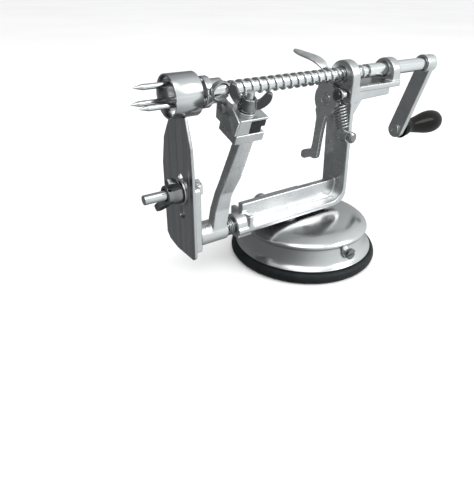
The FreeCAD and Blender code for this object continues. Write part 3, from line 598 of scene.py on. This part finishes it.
def lever_paddle():
    """Closed leaf along PADDLE: widest halfway, and thinner towards its tip."""
    path = smooth_line(PADDLE, 5)
    last = len(path) - 1
    points, faces = [], []
    for index, (across, up) in enumerate(path):
        share = index / last
        half_wide = 0.9 + 4.2 * math.sin(math.pi * share) ** 0.7
        half_thick = 1.4 - 0.5 * share
        for side in range(PADDLE_SIDES):
            turn = math.tau * side / PADDLE_SIDES
            points.append((LEVER_MIDDLE - 1.5 + half_wide * math.cos(turn), across,
                           up + half_thick * math.sin(turn)))
    for index in range(last):
        for side in range(PADDLE_SIDES):
            following = (side + 1) % PADDLE_SIDES
            start, end = index * PADDLE_SIDES, (index + 1) * PADDLE_SIDES
            faces.append([start + side, start + following, end + following, end + side])
    faces.append(list(range(PADDLE_SIDES)))
    faces.append(list(range(last * PADDLE_SIDES, (last + 1) * PADDLE_SIDES)))
    return points, faces


def release_lever():
    """Stamped lever with a round boss, and a leaf-shaped thumb piece across its top."""
    outlines = [closed_curve(STEM), closed_curve(TAIL), lever_disc()]
    shells = [slab(outline, LEVER_THICK, on_plate) for outline in outlines]
    shells.append(lever_paddle())
    return softened(merged("lever_stamping", shells), 0.28, 6)


show(release_lever(), "dark_plated", "release_lever")


# ------------------------------------------------------------------------- studio
LIGHT_TARGET = Vector((0, 0, 0.05))
FLOOR_HALF = 12.0
FLOOR_DROP = 0.0002


def soft_light(name, place, size, power):
    """Square area light that looks at the part."""
    lamp = bpy.data.lights.new(name, "AREA")
    lamp.shape = "RECTANGLE"
    lamp.size = lamp.size_y = size
    lamp.energy = power
    light = bpy.data.objects.new(name, lamp)
    bpy.context.scene.collection.objects.link(light)
    light.location = place
    light.rotation_euler = (LIGHT_TARGET - Vector(place)).to_track_quat("-Z", "Y").to_euler()


def studio_floor():
    """Pale floor, wide enough to fill the view to its far edge."""
    corners = [(x * FLOOR_HALF, y * FLOOR_HALF, 0) for x, y in ((-1, -1), (1, -1), (1, 1), (-1, 1))]
    mesh = mesh_of(corners, [(0, 1, 2, 3)], "floor")
    floor = new_object("studio_floor", mesh)
    floor.location.z = -FLOOR_DROP
    finish = Finish("floor_paint", grey(0.9), Roughness=0.8)
    finish.tint(finish.noise(3, detail=2), grey(0.88), grey(0.92))
    mesh.materials.append(finish.material)
    floor.visible_glossy = False


BRIGHT_SIDE = Vector((0.66, -0.70, 0.26))
# (share of the way from the dark side to the bright one, brightness)
MIRRORED = [(0.0, 0.16), (0.25, 0.18), (0.42, 0.25), (0.52, 0.36), (0.66, 0.60), (0.84, 0.98), (1.0, 1.15)]
MIRRORED_TINT = (0.96, 1.01, 1.02)
EVEN_LIGHT = 1.05


def studio_world():
    """White backdrop, even light from all round, and reflections that darken towards -X and +Y."""
    world = bpy.data.worlds.new("studio")
    bpy.context.scene.world = world
    world.use_nodes = True
    tree = world.node_tree
    tree.nodes.clear()
    place = tree.nodes.new("ShaderNodeTexCoord")
    dot = tree.nodes.new("ShaderNodeVectorMath")
    dot.operation = "DOT_PRODUCT"
    dot.inputs[1].default_value = BRIGHT_SIDE.normalized()
    scale = tree.nodes.new("ShaderNodeMapRange")
    scale.inputs["From Min"].default_value = -1
    ramp = tree.nodes.new("ShaderNodeValToRGB")
    tree.links.new(place.outputs["Generated"], dot.inputs[0])
    tree.links.new(dot.outputs["Value"], scale.inputs["Value"])
    tree.links.new(scale.outputs["Result"], ramp.inputs["Fac"])
    while len(ramp.color_ramp.elements) < len(MIRRORED):
        ramp.color_ramp.elements.new(0.5)
    for element, (position, level) in zip(ramp.color_ramp.elements, MIRRORED):
        element.position = position
        element.color = (*(level * part for part in MIRRORED_TINT), 1)
    mirrored = tree.nodes.new("ShaderNodeBackground")
    tree.links.new(ramp.outputs["Color"], mirrored.inputs["Color"])
    even = tree.nodes.new("ShaderNodeBackground")
    even.inputs["Color"].default_value = (1, 1, 1, 1)
    even.inputs["Strength"].default_value = EVEN_LIGHT
    rays = tree.nodes.new("ShaderNodeLightPath")
    mix = tree.nodes.new("ShaderNodeMixShader")
    tree.links.new(rays.outputs["Is Glossy Ray"], mix.inputs[0])
    tree.links.new(even.outputs["Background"], mix.inputs[1])
    tree.links.new(mirrored.outputs["Background"], mix.inputs[2])
    output = tree.nodes.new("ShaderNodeOutputWorld")
    tree.links.new(mix.outputs["Shader"], output.inputs["Surface"])


CAMERA_ANGLES = (-35.161, 30.125, 0.84)     # azimuth, elevation and roll, in degrees
CAMERA_PLACE = (-0.19136, -0.19821, 0.15424)
CAMERA_LENS = 34.06


def main_camera():
    """View from the front left, a little above."""
    azimuth, elevation, roll = (math.radians(angle) for angle in CAMERA_ANGLES)
    back = Vector((math.sin(azimuth) * math.cos(elevation), -math.cos(azimuth) * math.cos(elevation),
                   math.sin(elevation)))
    right = Vector((math.cos(azimuth), math.sin(azimuth), 0))
    up = right.cross(-back)
    across = right * math.cos(roll) + up * math.sin(roll)
    upright = up * math.cos(roll) - right * math.sin(roll)
    lens = bpy.data.cameras.new("camera")
    lens.sensor_width = 36
    lens.lens = CAMERA_LENS
    lens.clip_start = 0.01
    camera = bpy.data.objects.new("camera", lens)
    bpy.context.scene.collection.objects.link(camera)
    camera.matrix_world = Matrix.Translation(CAMERA_PLACE) @ Matrix(
        (across, upright, back)).transposed().to_4x4()
    bpy.context.scene.camera = camera


studio_floor()
studio_world()
soft_light("key", (0.55, -0.75, 0.75), size=0.6, power=6)
soft_light("fill", (-0.35, -0.5, 1.0), size=0.9, power=5)
main_camera()
bpy.context.scene.view_settings.view_transform = "Standard"
bpy.context.view_layer.update()
